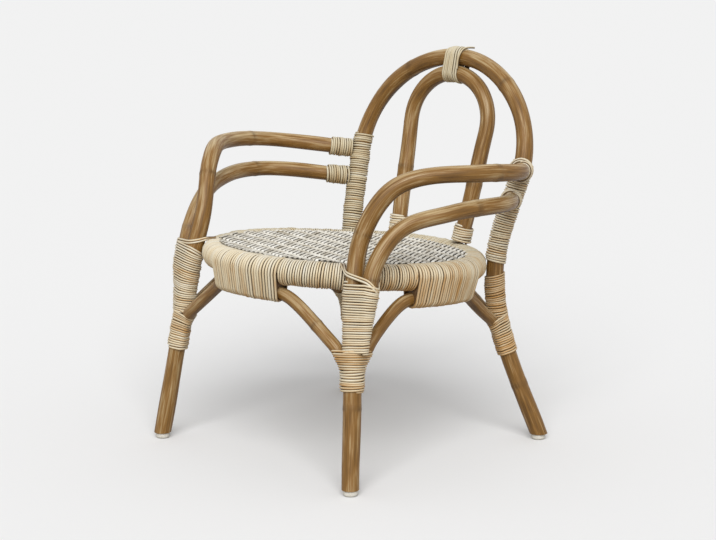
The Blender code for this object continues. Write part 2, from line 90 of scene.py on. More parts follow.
def makeLongGrain():  # streaks along a pole or strand, broad patches and a fine height
    tree, given, made = newGroup(
        "longGrain",
        [("Vector", "NodeSocketVector", None), ("Across", "NodeSocketFloat", 400.0),
         ("Along", "NodeSocketFloat", 14.0)],
        [("Streaks", "NodeSocketFloat"), ("Patches", "NodeSocketFloat"), ("Height", "NodeSocketFloat")],
    )
    stretch = addNode(tree, "ShaderNodeCombineXYZ", [
        (0, given.outputs["Across"]), (1, given.outputs["Across"]), (2, given.outputs["Along"])])
    fine = addNode(tree, "ShaderNodeVectorMath", [
        (0, given.outputs["Vector"]), (1, stretch.outputs[0])], operation="MULTIPLY")
    broad = addNode(tree, "ShaderNodeVectorMath", [(0, fine.outputs[0])], {1: grainLook["broad"]},
                    operation="MULTIPLY")
    streakNoise = addNode(tree, "ShaderNodeTexNoise", [("Vector", fine.outputs[0])], grainLook["streaks"])
    patchNoise = addNode(tree, "ShaderNodeTexNoise", [("Vector", broad.outputs[0])], grainLook["patches"])
    heightNoise = addNode(tree, "ShaderNodeTexNoise", [("Vector", fine.outputs[0])], grainLook["height"])
    for label, noise in (("Streaks", streakNoise), ("Patches", patchNoise)):
        spread = addNode(tree, "ShaderNodeMapRange", [("Value", noise.outputs["Fac"])], grainLook["spread"])
        tree.links.new(spread.outputs[0], made.inputs[label])
    tree.links.new(heightNoise.outputs["Fac"], made.inputs["Height"])
    return tree


toneSteps = (0.2, 0.5, 0.8)  # depths at which the dark, the middle and the light tone are pure


def makeFibreColour():  # three tones mixed by streaks, patches and the tone of each turn
    tree, given, made = newGroup(
        "fibreColour",
        [("Dark", "NodeSocketColor", None), ("Middle", "NodeSocketColor", None),
         ("Light", "NodeSocketColor", None), ("Streaks", "NodeSocketFloat", 0.5),
         ("Patches", "NodeSocketFloat", 0.5), ("Tone", "NodeSocketFloat", 0.5),
         ("Streak Share", "NodeSocketFloat", 0.5), ("Tone Share", "NodeSocketFloat", 0.4)],
        [("Colour", "NodeSocketColor")],
    )
    streaks = addNode(tree, "ShaderNodeMix", [
        (0, given.outputs["Streak Share"]), (2, given.outputs["Patches"]), (3, given.outputs["Streaks"])])
    depth = addNode(tree, "ShaderNodeMix", [
        (0, given.outputs["Tone Share"]), (2, streaks.outputs[0]), (3, given.outputs["Tone"])])
    lower, upper = (addNode(tree, "ShaderNodeMapRange", [("Value", depth.outputs[0])],
                            {"From Min": low, "From Max": high})
                    for low, high in zip(toneSteps, toneSteps[1:]))
    first = addNode(tree, "ShaderNodeMix", [
        (0, lower.outputs[0]), (6, given.outputs["Dark"]), (7, given.outputs["Middle"])], data_type="RGBA")
    second = addNode(tree, "ShaderNodeMix", [
        (0, upper.outputs[0]), (6, first.outputs[2]), (7, given.outputs["Light"])], data_type="RGBA")
    tree.links.new(second.outputs[2], made.inputs["Colour"])
    return tree


longGrain = makeLongGrain()
fibreColour = makeFibreColour()

grainDepth = 0.0006
caneGrain = dict(across=900.0, along=40.0, streakShare=0.5, bump=0.25)
finishes = {
    "rattanPole": dict(dark=linear(76, 50, 16), middle=linear(134, 96, 43), light=linear(202, 180, 138),
                       groove=linear(48, 31, 10), across=620.0, along=20.0, streakShare=0.5, toneShare=0.44,
                       roughLow=0.36, roughHigh=0.58, bump=0.22, specular=0.38),
    "peeledCane": dict(caneGrain, dark=linear(186, 140, 78), middle=linear(222, 206, 173),
                       light=linear(224, 219, 204), groove=linear(92, 62, 28), toneShare=0.6,
                       roughLow=0.45, roughHigh=0.68, specular=0.4),
    "greyedCane": dict(caneGrain, dark=linear(168, 134, 84), middle=linear(204, 190, 158),
                       light=linear(216, 210, 192), groove=linear(78, 56, 28), toneShare=0.6,
                       roughLow=0.5, roughHigh=0.72, specular=0.35),
    "wovenCane": dict(caneGrain, dark=linear(132, 118, 88), middle=linear(224, 219, 206),
                      light=linear(250, 248, 240), groove=linear(62, 50, 30), toneShare=0.5,
                      roughLow=0.5, roughHigh=0.72, specular=0.35),
}


def fibreMaterial(name):
    look = finishes[name]
    made = bpy.data.materials.new(name)
    made.use_nodes = True
    tree = made.node_tree
    shader = tree.nodes["Principled BSDF"]
    place, tone, shade = (addNode(tree, "ShaderNodeAttribute", attribute_name=label)
                          for label in ("grainPlace", "tone", "shade"))
    grain = addNode(tree, "ShaderNodeGroup", node_tree=longGrain)
    tree.links.new(place.outputs["Vector"], grain.inputs["Vector"])
    grain.inputs["Across"].default_value = look["across"]
    grain.inputs["Along"].default_value = look["along"]
    colour = addNode(tree, "ShaderNodeGroup", node_tree=fibreColour)
    for label, key in (("Dark", "dark"), ("Middle", "middle"), ("Light", "light"),
                       ("Streak Share", "streakShare"), ("Tone Share", "toneShare")):
        colour.inputs[label].default_value = look[key]
    for label in ("Streaks", "Patches"):
        tree.links.new(grain.outputs[label], colour.inputs[label])
    tree.links.new(tone.outputs["Fac"], colour.inputs["Tone"])
    # the shade attribute darkens the colour: dark joints on poles, painted shade on cane
    shaded = addNode(tree, "ShaderNodeMix", [(0, shade.outputs["Fac"]), (6, colour.outputs["Colour"])],
                     {7: look["groove"]}, data_type="RGBA")
    tree.links.new(shaded.outputs[2], shader.inputs["Base Color"])
    rough = addNode(tree, "ShaderNodeMapRange", [("Value", grain.outputs["Streaks"])],
                    {"To Min": look["roughHigh"], "To Max": look["roughLow"]})
    tree.links.new(rough.outputs[0], shader.inputs["Roughness"])
    bump = addNode(tree, "ShaderNodeBump", [("Height", grain.outputs["Height"])],
                   {"Strength": look["bump"], "Distance": grainDepth})
    tree.links.new(bump.outputs[0], shader.inputs["Normal"])
    shader.inputs["Specular IOR Level"].default_value = look["specular"]
    return made


poleFinish, caneFinish, greyedFinish, weaveFinish = (fibreMaterial(name) for name in finishes)
print("finishes made")


# paths, tubes and pieces
def unit(v):
    return v / np.linalg.norm(v, axis=-1, keepdims=True)


def mirrored(path, sign):
    return np.asarray(path) * (sign, 1, 1)


def polar(radius, degrees, height):
    a = np.radians(degrees)
    return np.stack(np.broadcast_arrays(radius * np.cos(a), radius * np.sin(a), height), axis=-1)


def angleOf(point):
    return math.degrees(math.atan2(point[1], point[0]))


def outward(point):
    return np.array((point[0], point[1], 0.0))


def distanceAlong(path):
    return np.concatenate(([0.0], np.cumsum(np.linalg.norm(np.diff(path, axis=0), axis=1))))


def evenSteps(path, step):
    path = np.asarray(path, float)
    along = distanceAlong(path)
    where = np.linspace(0, along[-1], max(3, int(round(along[-1] / step)) + 1))
    return np.column_stack([np.interp(where, along, path[:, k]) for k in range(3)])


def eased(path, rounds):  # takes the corners off a path and keeps its ends
    path = path.copy()
    for _ in range(rounds):
        path[1:-1] = path[1:-1] / 2 + (path[:-2] + path[2:]) / 4
    return path


def through(points, steps):  # curve through every point
    points = [np.asarray(p, float) for p in points]
    ends = [points[0] * 2 - points[1], *points, points[-1] * 2 - points[-2]]
    path = []
    for a, b, c, d in zip(ends, ends[1:], ends[2:], ends[3:]):
        before, span, after = (np.linalg.norm(q - p) for p, q in ((a, b), (b, c), (c, d)))
        leave = ((b - a) * (span / before) + (c - b) * (before / span)) / (before + span)
        arrive = ((c - b) * (after / span) + (d - c) * (span / after)) / (span + after)
        for t in np.arange(steps) / steps:
            bend = leave * (t * (1 - t) ** 2) - arrive * (t * t * (1 - t))
            path.append(b + (c - b) * (t * t * (3 - 2 * t)) + bend * span)
    return np.array(path + [points[-1]])


def above(path, height):  # the part of a rising path over a height
    first = int(np.argmax(path[:, 2] > height))
    a, b = path[first - 1], path[first]
    cut = a + (b - a) * ((height - a[2]) / (b[2] - a[2]))
    return np.vstack((cut, path[first:]))


def between(path, low, high):  # the part of a path between two heights
    return path[(path[:, 2] > low) & (path[:, 2] < high)]


def atHeight(path, height):
    order = np.argsort(path[:, 2])
    return np.array([np.interp(height, path[order, 2], path[order, k]) for k in range(3)])


def slowNoise(rng, count, length):  # smooth random values
    knots = rng.uniform(-1, 1, max(4, int(count / length) + 3))
    return np.interp(np.arange(count) / length, np.arange(len(knots)), knots)


askew = (0.31, 0.83, 0.46)  # a direction that no pole starts in


def sideways(path):  # frames that don't twist
    tangents = unit(np.gradient(path, axis=0))
    normals = np.empty_like(path)
    normal = np.cross(tangents[0], askew)
    for i, tangent in enumerate(tangents):
        normal = normal - tangent * normal.dot(tangent)
        normal /= np.linalg.norm(normal)
        normals[i] = normal
    return tangents, normals


def sectionAngles(sides):
    return 2 * math.pi * np.arange(sides) / sides


def tubeFaces(count, sides, first=0):
    i = np.arange(count - 1)[:, None] * sides
    j = np.arange(sides)[None, :]
    k = (j + 1) % sides
    quads = np.stack([i + j, i + k, i + sides + k, i + sides + j], axis=-1).reshape(-1, 4) + first
    last = first + (count - 1) * sides
    return quads.tolist() + [list(range(first + sides - 1, first - 1, -1)), list(range(last, last + sides))]


def tube(path, normals, high, wide, sides):  # oval section: high along the normals, wide across them
    tangents = unit(np.gradient(path, axis=0))
    normals = unit(normals - tangents * np.sum(normals * tangents, axis=1, keepdims=True))
    across = np.cross(tangents, normals)
    a = sectionAngles(sides)
    high, wide = (np.reshape(v, (-1, 1)) if np.ndim(v) < 2 else v for v in (high, wide))
    x = np.broadcast_to(high * np.cos(a), (len(path), sides))
    y = np.broadcast_to(wide * np.sin(a), (len(path), sides))
    off = normals[:, None] * x[..., None] + across[:, None] * y[..., None]
    along = np.broadcast_to(distanceAlong(path)[:, None], x.shape)
    place = np.stack((x, y, along), axis=-1).reshape(-1, 3)
    return (path[:, None] + off).reshape(-1, 3), place, unit(off)[..., 2]


sharpAngle = math.radians(50)


def makePiece(name, verts, faces, finish, slotName, nodes=(), **marks):
    mesh = bpy.data.meshes.new(name)
    mesh.from_pydata((np.asarray(verts) + chairOffset).tolist(), [], faces)
    for label, values in marks.items():
        vector = values.ndim == 2
        layer = mesh.attributes.new(label, "FLOAT_VECTOR" if vector else "FLOAT", "POINT")
        layer.data.foreach_set("vector" if vector else "value", np.asarray(values, np.float32).ravel())
    mesh.shade_smooth()
    mesh.set_sharp_from_angle(angle=sharpAngle)
    mesh.materials.append(finish)
    piece = bpy.data.objects.new(name, mesh)
    bpy.context.scene.collection.objects.link(piece)
    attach(piece, "root")
    if nodes:
        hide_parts(*nodes)
    return piece


def camel(words, ending):
    first, *others = words.split("_")
    return first + "".join(word.title() for word in others) + ending


# rattan poles: slightly uneven tubes with faint growth joints
poleLook = dict(sides=28, step=0.004, rounding=8, steady=0.03, wander=0.00035, swell=0.00022,
                driftSpeeds=(25, 55), oval=0.012, ovalStart=3, ovalTwist=4, firstJoint=(0.04, 0.16),
                jointSpacing=0.21, jointShift=0.03, jointBulge=0.0005, jointWidth=0.0035, jointShade=0.5,
                jointEven=0.6, tone=0.42, toneSpread=0.1, toneLength=40, bleach=0.40, grainShift=3.7)


def rattanPole(name, node, path, diameters, seed, sawn=()):
    rng = np.random.default_rng(seed)
    rough = evenSteps(path, poleLook["step"])
    along = distanceAlong(rough)
    given = distanceAlong(np.asarray(path))
    radius = np.interp(along / along[-1], given / given[-1], np.asarray(diameters)) / 2
    path = eased(rough, poleLook["rounding"])
    tangents, normals = sideways(path)
    across = np.cross(tangents, normals)
    ends = np.minimum(1, np.minimum(along, along[-1] - along) / poleLook["steady"])[:, None]
    phases, speeds = rng.uniform(0, 2 * math.pi, 4), rng.uniform(*poleLook["driftSpeeds"], 4)
    drift = np.sin(along[:, None] * speeds + phases)
    path = path + ends * poleLook["wander"] * (normals * drift[:, :1] + across * drift[:, 1:2])
    radius = radius + poleLook["swell"] * (drift[:, 2] + drift[:, 3])
    spots = np.arange(rng.uniform(*poleLook["firstJoint"]), along[-1], poleLook["jointSpacing"])
    spots = spots + rng.uniform(-poleLook["jointShift"], poleLook["jointShift"], len(spots))
    joint = np.exp(-((along[:, None] - spots) / poleLook["jointWidth"]) ** 2).sum(axis=1)
    radius = radius + poleLook["jointBulge"] * joint
    sides = poleLook["sides"]
    a = sectionAngles(sides)
    turned = 2 * a + rng.uniform(0, poleLook["ovalStart"]) + along[:, None] * poleLook["ovalTwist"]
    radii = radius[:, None] * (1 + poleLook["oval"] * np.cos(turned))
    verts, place, upward = tube(path, normals, radii, radii, sides)
    grid = verts.reshape(len(path), sides, 3)
    for row, height in sawn:  # a foot that is sawn off level
        slide = (height - grid[row, :, 2]) / tangents[row, 2]
        grid[row] += slide[:, None] * tangents[row]
    even = poleLook["jointEven"]
    shade = joint[:, None] * poleLook["jointShade"] * (even + (1 - even) * np.sin(3 * a + seed))
    slow = slowNoise(rng, len(path), poleLook["toneLength"])[:, None]
    tone = poleLook["tone"] + poleLook["toneSpread"] * slow
    tone = np.clip(tone + poleLook["bleach"] * upward * np.abs(upward), 0, 1)  # painted light on top, painted shade below
    return makePiece(name, verts, tubeFaces(len(path), sides), poleFinish, "pole_rattan", [node],
                     grainPlace=place + (0, 0, seed * poleLook["grainShift"]), tone=tone.ravel(),
                     shade=shade.ravel())


# hoops: two legs and an arch in one pole, and a narrower one that stands on the seat
footHeight = 0.0083  # where the poles are sawn off, on the glides
hoop = dict(pole=0.024, below=(0.20025, 0.20559, -0.02296), knee=(0.14314, 0.15567, 0.22665),
            seat=(0.14366, 0.15587, 0.25365), steps=24, halfWidth=0.1595, spring=(0.19265, 0.38715),
            arch=0.143, rake=0.27545)
innerHoop = dict(pole=0.0226, start=(0.06268, 0.17336, 0.27331), step=0.006, halfWidth=0.0748,
                 spring=(0.2134, 0.43498), arch=0.07242, rake=0.1708)


def archRoute(look, steps=40):  # quarter of an ellipse that leans back
    a = np.linspace(0, math.pi / 2, steps)
    rise = look["arch"] * np.sin(a)
    y, z = look["spring"]
    return np.column_stack((look["halfWidth"] * np.cos(a), y + look["rake"] * rise, z + rise))


def wholeHoop(half):
    return np.vstack((half, mirrored(half, -1)[-2::-1]))


hoopArch = archRoute(hoop)
hoopLeg = through([hoop["below"], hoop["knee"], hoop["seat"], hoopArch[0]], hoop["steps"])
hoopHalf = above(np.vstack((hoopLeg[:-1], hoopArch)), footHeight)
innerArch = archRoute(innerHoop)
innerLeg = evenSteps([innerHoop["start"], innerArch[0]], innerHoop["step"])
innerHalf = np.vstack((innerLeg[:-1], innerArch))
hoopRoute, innerRoute = wholeHoop(hoopHalf), wholeHoop(innerHalf)
rattanPole("hoopPole", "back_hoop_pole", hoopRoute, np.full(len(hoopRoute), hoop["pole"]), seeds["hoop"],
           [(0, footHeight), (-1, footHeight)])
rattanPole("innerHoopPole", "inner_hoop_pole", innerRoute, np.full(len(innerRoute), innerHoop["pole"]),
           seeds["innerHoop"])

# arms: each upper arm is a front leg that bends over, each lower arm starts shaved thin beside that leg
arm = dict(pole=0.024, tip=0.0215, below=(0.19483, -0.18147, -0.024), straight=(0.16957, -0.15052, 0.19033),
           seat=(0.15996, -0.13874, 0.2719), bend=(0.15596, -0.12474, 0.3199),
           elbow=(0.17896, -0.09274, 0.3879), sweep=(0.24646, 0.01326, 0.4064),
           bow=(0.24996, 0.06026, 0.4034), end=(0.16908, 0.17811, 0.386))
lowArm = dict(pole=0.022, tip=0.011, start=(0.18598, -0.14652, 0.2020), bind=(0.18547, -0.13952, 0.2509),
              bend=(0.18496, -0.13074, 0.2849), elbow=(0.19496, -0.09224, 0.3379),
              sweep=(0.22596, -0.02874, 0.3559), bow=(0.23996, 0.05326, 0.3599),
              end=(0.16354, 0.16501, 0.346), sliver=0.009, sliverReach=0.42)
armSteps = 16
armStops = ("below", "straight", "seat", "bend", "elbow", "sweep", "bow", "end")
lowStops = ("start", "bind", "bend", "elbow", "sweep", "bow", "end")
wholeArm = through([arm[stop] for stop in armStops], armSteps)
armSizes = np.interp(np.arange(len(wholeArm)), (2 * armSteps, len(wholeArm) - 1), (arm["pole"], arm["tip"]))
armRoute = above(wholeArm, footHeight)
armSizes = armSizes[-len(armRoute):]
lowRoute = through([lowArm[stop] for stop in lowStops], armSteps)
lowSizes = np.interp(np.arange(len(lowRoute)), (0, armSteps), (lowArm["tip"], lowArm["pole"]))
for side, sign in sideSigns.items():
    rattanPole(side + "ArmPole", side + "_arm_pole", mirrored(armRoute, sign), armSizes,
               seeds["arm"] + (sign < 0), [(0, footHeight)])
    rattanPole(side + "LowerArmPole", side + "_lower_arm_pole", mirrored(lowRoute, sign), lowSizes,
               seeds["lowArm"] + (sign < 0))

# seat ring: a round in a plane that falls towards the back
ring = dict(radius=0.179, slope=math.radians(4.2))
fall, run = math.sin(ring["slope"]), math.cos(ring["slope"])
seatAxes = np.array(((1, 0, 0), (0, run, -fall), (0, fall, run)))


def onSeat(points):  # from the seat's own plane to the chair
    return np.asarray(points) @ seatAxes + (0, 0, ringMiddle.z)


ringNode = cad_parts["seat_ring_pole"]
ringNode.data.materials.clear()
ringNode.data.materials.append(poleFinish)

# braces: bound under the ring in the middle, with ends that come down to the legs
brace = dict(pole=0.017, tip=0.007, bindAngle=19.0, drop=0.02884, land={"front": 0.1843, "back": 0.178},
             tail=0.020, tailIn=0.60, tuck=math.radians(28.0), curve=1.35, clear=0.0006, steps=20,
             wayStep=0.004)
legTops = dict(front=0.34, back=0.44)
legRoutes = {
    "front_right": (between(armRoute, 0, legTops["front"]), arm["pole"], 1),
    "front_left": (between(armRoute, 0, legTops["front"]), arm["pole"], -1),
    "back_right": (between(hoopHalf, 0, legTops["back"]), hoop["pole"], 1),
    "back_left": (between(hoopHalf, 0, legTops["back"]), hoop["pole"], -1),
}
sideSpans = {
    "right": ("front_right", "back_right"),
    "back": ("back_right", "back_left"),
    "left": ("back_left", "front_left"),
    "front": ("front_left", "front_right"),
}
legAngles = {"front_right": -41.0, "back_right": 47.4, "back_left": 132.6, "front_left": 221.0}
braceEnds = {leg: [] for leg in legRoutes}


def spanAngles(side):  # angles of the two legs that a side runs between
    first, last = (legAngles[leg] for leg in sideSpans[side])
    return first, last if last > first else last + 360


def landHeight(leg):
    return brace["land"][leg.split("_")[0]]


def besideLeg(leg, height, toward, diameter):  # centre of a brace that lies against a leg
    path, size, sign = legRoutes[leg]
    path = mirrored(path, sign)
    centre = atHeight(path, height)
    way = unit(atHeight(path, height + brace["wayStep"]) - centre)
    inward = unit(np.array((-centre[0], -centre[1], 0)))
    along = np.array((inward[1], -inward[0], 0)) * toward
    return centre + (along * math.cos(brace["tuck"]) + inward * math.sin(brace["tuck"])) * (
        size / 2 / way[2] + diameter / 2 + brace["clear"])


def braceHalf(leg, middle, toward):  # from the bound part of a brace to its thin end beside a leg
    edge = middle + toward * brace["bindAngle"]
    land = besideLeg(leg, landHeight(leg), -toward, brace["pole"])
    own = mirrored(legRoutes[leg][0], legRoutes[leg][2])
    beside = land - atHeight(own, land[2])
    tail = atHeight(own, land[2] - brace["tail"]) + beside * brace["tailIn"]
    turn = (angleOf(land) - edge + 180) % 360 - 180
    t = np.linspace(0, 1, brace["steps"] + 1)[1:]
    radius = ring["radius"] + (math.hypot(land[0], land[1]) - ring["radius"]) * t * t
    path = onSeat(polar(radius, edge + turn * t, -brace["drop"]))
    path[:, 2] += (land[2] - path[:, 2]) * t ** brace["curve"]
    path[-1] = land
    braceEnds[leg].append((land, beside))
    return np.vstack((path, tail))


for seed, (side, (first, last)) in enumerate(sideSpans.items()):
    middle = sum(spanAngles(side)) / 2
    angles = middle + np.linspace(-1, 1, brace["steps"]) * brace["bindAngle"]
    bound = onSeat(polar(ring["radius"], angles, -brace["drop"]))
    route = np.vstack((braceHalf(first, middle, -1)[::-1], bound, braceHalf(last, middle, 1)))
    sizes = np.full(len(route), brace["pole"])
    sizes[[0, -1]] = brace["tip"]
    rattanPole(side + "BracePole", side + "_brace_pole", route, sizes, seeds["brace"] + seed)
print("poles made")


# cane windings: one strand per winding, with turns that vary a little
strandLook = dict(points=24, sides=8, squash=0.98, fill=0.90, widthSpread=0.09, widthWaver=0.04,
                  widthLength=17, proud=0.0006, wobble=0.0003, wobbleLength=11, tilt=0.0006, tiltLength=70,
                  tiltShift=2, drift=0.22, driftLength=33, tuckTurns=0.3, tuckDepth=2.2, tone=0.46,
                  toneSpread=0.17, toneWaver=0.10, toneLength=9, bleach=0.32, groove=0.95, paintedShadeFrom=0.6,
                  paintedShadeOver=0.8, grainShift=1.9, poleSlack=0.001)


def turnMarks(turns):  # the middle of each turn, with one to spare at each end
    return np.arange(int(turns[-1]) + 3) - 0.5


def turnSteps(total):
    return np.linspace(0, total, int(total * strandLook["points"]) + 1)


def caneStrand(name, nodes, path, normals, width, turns, seed, tone=strandLook["tone"], finish=caneFinish):
    rng = np.random.default_rng(seed)
    sides, count = strandLook["sides"], len(path)
    marks = turnMarks(turns)
    perTurn = rng.uniform(-1, 1, (2, len(marks)))
    wide = 1 + strandLook["widthSpread"] * np.interp(turns, marks, perTurn[0])
    wide = width / 2 * (wide + strandLook["widthWaver"] * slowNoise(rng, count, strandLook["widthLength"]))
    verts, place, upward = tube(path, normals, wide * strandLook["squash"], wide, sides)
    tone = tone + strandLook["toneSpread"] * np.interp(turns, marks, perTurn[1])
    tone = tone + strandLook["toneWaver"] * slowNoise(rng, count, strandLook["toneLength"])
    # paler where a strand faces up and darker where it faces down: painted light from above
    tone = np.clip(tone[:, None] + strandLook["bleach"] * upward, 0, 1)
    facing = np.cos(sectionAngles(sides))  # 1 on the outside of a strand, -1 underneath
    # painted shade on the flanks and underside of each strand, where the turns meet
    paintedShadeMask = np.clip((strandLook["paintedShadeFrom"] - facing) / strandLook["paintedShadeOver"], 0, 1)
    shade = np.broadcast_to(strandLook["groove"] * paintedShadeMask, upward.shape)
    return makePiece(name, verts, tubeFaces(count, sides), finish, "binding_cane", nodes,
                     grainPlace=place + (0, 0, seed * strandLook["grainShift"]), tone=tone.ravel(),
                     shade=shade.ravel())


def tightLoop(circles, angle):  # the points of a taut loop round circles, each an array of x, y and radius
    ways = np.column_stack((np.cos(angle), np.sin(angle)))
    reach = np.array([x * ways[:, 0] + y * ways[:, 1] + r for x, y, r in circles])
    best = np.argmax(reach, axis=0)
    rows = np.arange(len(angle))
    xs, ys, rs = (np.array([np.broadcast_to(c[k], len(angle)) for c in circles])[best, rows]
                  for k in range(3))
    return np.column_stack((xs, ys)) + ways * rs[:, None], ways


def tucked(turns, depth):  # how far a strand's two ends go in under its turns
    ends = np.minimum(turns, turns[-1] - turns)
    return depth * (1 - np.clip(ends / strandLook["tuckTurns"], 0, 1)) ** 2


def uneven(rng, turns):  # how far each turn stands out from the others
    marks = turnMarks(turns)
    each = np.interp(turns, marks, rng.uniform(-1, 1, len(marks)))
    waver = slowNoise(rng, len(turns), strandLook["wobbleLength"])
    return strandLook["proud"] * each + strandLook["wobble"] * waver


def woundLoop(rng, circles, turns, lift):  # a taut loop with tucked ends and uneven turns
    flat, ways = tightLoop(circles, 2 * math.pi * turns)
    inward = tucked(turns, strandLook["tuckDepth"] * lift) - uneven(rng, turns)
    return flat - ways * inward[:, None], ways


def poleCircles(poles, axes, level, lift):  # what a strand goes round, at each level along the last axis
    side, other, axis = axes
    circles = []
    for path, diameters in poles:
        heights = path @ axis
        order = np.argsort(heights)
        spot = [np.interp(level, heights[order], path[order] @ v) for v in (side, other)]
        size = np.interp(level, heights[order], np.broadcast_to(diameters, len(path))[order])
        lowest, highest = heights.min() - strandLook["poleSlack"], heights.max() + strandLook["poleSlack"]
        inside = (level >= lowest) & (level <= highest)
        circles.append((*spot, np.where(inside, size / 2 + lift, -1.0)))  # past its ends a pole is left out
    return circles


def windRound(name, nodes, poles, start, stop, facing, width, seed, tone=strandLook["tone"],
              slant=(0.0, 0.0), tilt=strandLook["tilt"], finish=caneFinish):
    rng = np.random.default_rng(seed)
    axis = unit(stop - start)
    side = unit(facing - axis * axis.dot(facing))
    axes = np.array((side, np.cross(axis, side), axis))
    length = np.linalg.norm(stop - start)
    total = length / width
    turns = turnSteps(total)
    count = len(turns)
    angle = 2 * math.pi * turns
    level = start @ axis + length * turns / total
    shift = slowNoise(rng, count, strandLook["tiltLength"]) * strandLook["tiltShift"]
    level = level + tilt * np.sin(angle + shift)
    level = level + strandLook["drift"] * width * slowNoise(rng, count, strandLook["driftLength"])
    lean, towards = slant  # the last turns lie higher on one side
    level = level + lean * np.cos(angle - math.radians(towards)) * (turns / total) ** 2
    lift = width * strandLook["squash"] / 2
    flat, ways = woundLoop(rng, poleCircles(poles, axes, level, lift), turns, lift)
    return caneStrand(name, nodes, np.column_stack((flat, level)) @ axes, ways @ axes[:2],
                      width * strandLook["fill"], turns, seed, tone, finish)


# rim: packing and cane round the seat ring, and round the ring and a brace in the middle of each side
# the right side's lower tone is painted shade
rim = dict(width=0.0032, boundWidth=0.0040, core=dict(front=0.0147, right=0.0147, back=0.0163, left=0.0147),
           packing=0.0018, boundPacking=0.0042, bracePacking=0.0040, overlap=0.6, fillerSteps=(30, 40),
           waver=0.15, waverLength=29, lean=0.14, leanFrom=1.0,
           tones=dict(front=0.50, right=0.33, back=0.42, left=0.45),
           finishes=dict(front=caneFinish, right=caneFinish, back=greyedFinish, left=greyedFinish))


def windRing(name, nodes, first, last, circles, width, seed, side):  # round the ring, from angle to angle
    rng = np.random.default_rng(seed)
    lift = width * strandLook["squash"] / 2
    turns = turnSteps(math.radians(last - first) * ring["radius"] / width)
    count = len(turns)
    waver = rim["waver"] * slowNoise(rng, count, rim["waverLength"])
    lean = rim["lean"] * np.sin(2 * math.pi * turns + rim["leanFrom"])
    around = first + math.degrees(width / ring["radius"]) * (turns + waver + lean)
    flat, ways = woundLoop(rng, [(x, y, np.full(count, r + lift)) for x, y, r in circles], turns, lift)
    path = onSeat(polar(ring["radius"] + flat[:, 0], around, flat[:, 1]))
    normals = polar(ways[:, 0], around, ways[:, 1]) @ seatAxes
    return caneStrand(name, nodes, path, normals, width * strandLook["fill"], turns, seed,
                      rim["tones"][side], rim["finishes"][side])


def fillRing(name, middle, reach, circles):  # packing between the ring and a brace, under the winding, made dark with painted shade
    count, sides = rim["fillerSteps"]
    flat, _ = tightLoop([(x, y, np.full(sides, r)) for x, y, r in circles], sectionAngles(sides))
    around = middle + np.linspace(reach, -reach, count)[:, None]
    verts = onSeat(polar(ring["radius"] + flat[:, 0], around, flat[:, 1])).reshape(-1, 3)
    same = np.ones(len(verts))
    return makePiece(name, verts, tubeFaces(count, sides), caneFinish, "binding_cane", grainPlace=verts,
                     tone=same * strandLook["tone"], shade=same * strandLook["groove"])


for seed, side in enumerate(sideSpans):
    low, high = spanAngles(side)
    middle = (low + high) / 2
    bind = brace["bindAngle"]
    edge = bind - rim["overlap"]
    size = rim["core"][side]
    plain = [(0.0, 0.0, size), (rim["packing"], 0.0, size)]  # the packing lies on the outside of the ring
    bothPoles = [(0.0, 0.0, size), (rim["boundPacking"], 0.0, size),
                 (0.0, -brace["drop"], brace["pole"] / 2),
                 (rim["bracePacking"], -brace["drop"], brace["pole"] / 2)]
    windRing(side + "RimWrapA", [side + "_rim_wrap"], low, middle - edge, plain, rim["width"],
             seeds["rimFirst"] + seed, side)
    windRing(side + "RimWrapB", [], middle + edge, high, plain, rim["width"], seeds["rimSecond"] + seed, side)
    fillRing(side + "BracePacking", middle, edge - rim["overlap"], bothPoles)
    windRing(side + "BraceWrap", [side + "_brace_wrap"], middle - bind, middle + bind, bothPoles,
             rim["boundWidth"], seeds["braceWrap"] + seed, side)
print("rim wound")

# legs: a winding under the seat, and one over the braces' shaved tails (drop, share of the way, thickness)
legWind = dict(width=0.0031, front=(0.180, 0.268), back=(0.170, 0.239), jointWidth=0.0033, jointTop=0.0,
               jointBottom=0.0525,
               shaved=((0.0, 1.0, 0.017), (0.020, 0.667, 0.008), (0.034, 0.51, 0.008), (0.056, 0.45, 0.008)))
# the back right leg's much lower tones, here and in jointTones, are painted shade
legTones = {"front_right": 0.46, "front_left": 0.42, "back_right": 0.10, "back_left": 0.36}
jointTones = {"front_right": 0.26, "front_left": 0.30, "back_right": 0.08, "back_left": 0.30}
legSlants = {"front_right": (0.004, -90), "front_left": (0.004, 10), "back_right": (0.002, 0),
             "back_left": (0.002, 0)}
jointSlants = {"front_right": (0.001, -90), "front_left": (0.004, 0), "back_right": (0.002, 0),
               "back_left": (0.002, 0)}
lowStart, lowBind = np.array(lowArm["start"]), np.array(lowArm["bind"])
lowGuide = np.vstack((lowStart + (lowStart - lowBind) * lowArm["sliverReach"], lowRoute[:3 * armSteps]))
lowGuideSizes = np.concatenate(([lowArm["sliver"]], lowSizes[:3 * armSteps]))
legPoles = {}
for seed, (leg, (path, size, sign)) in enumerate(legRoutes.items()):
    own = mirrored(path, sign)
    place = leg.split("_")[0]
    legPoles[leg] = [(own, size)]
    if place == "front":
        legPoles[leg].append((mirrored(lowGuide, sign), lowGuideSizes))
    low, high = (atHeight(own, height) for height in legWind[place])
    windRound(camel(leg, "LegWrap"), [leg + "_leg_wrap"], legPoles[leg], low, high, outward(low),
              legWind["width"], seeds["legWrap"] + seed, legTones[leg], legSlants[leg])
    low, high = (atHeight(own, landHeight(leg) - legWind[end]) for end in ("jointBottom", "jointTop"))
    tails = []
    for land, beside in braceEnds[leg]:  # the ends are shaved thin, so the turns soon close on the leg
        tail = [atHeight(own, land[2] - drop) + beside * share for drop, share, _ in legWind["shaved"]]
        tails.append((np.array(tail), np.array([thick for *_, thick in legWind["shaved"]])))
    windRound(camel(leg, "JointWrap"), [leg + "_joint_wrap"], [(own, size), *tails], low, high, outward(low),
              legWind["jointWidth"], seeds["jointWrap"] + seed, jointTones[leg], jointSlants[leg])

